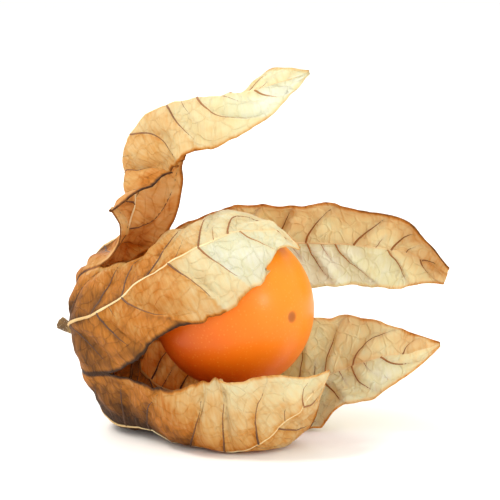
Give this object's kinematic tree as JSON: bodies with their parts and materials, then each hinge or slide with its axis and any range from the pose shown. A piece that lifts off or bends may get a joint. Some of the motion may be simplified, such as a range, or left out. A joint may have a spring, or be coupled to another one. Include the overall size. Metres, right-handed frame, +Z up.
{
  "type": "physalis berry in its opened husk",
  "caption": "Ripe physalis (cape gooseberry): a round orange berry on its short stalk, lying in its papery husk, which has torn open into curled lobes",
  "frame": {"origin": "on the surface that the fruit rests on, under the middle of the box round it", "axes": "+Z up, +X towards the tips of the husk's open lobes, -Y towards the viewer who sees the berry"},
  "size_m": [0.0466, 0.0296, 0.0423],
  "materials": {
    "husk": "dry, papery and slightly translucent, with raised brown veins",
    "berry": "smooth waxy fruit skin with a soft shine",
    "stem": "dry, matt and finely hairy"
  },
  "bodies": {
    "root": {"husk": "husk", "berry": "berry", "stem": "stem"}
  },
  "joints": []
}
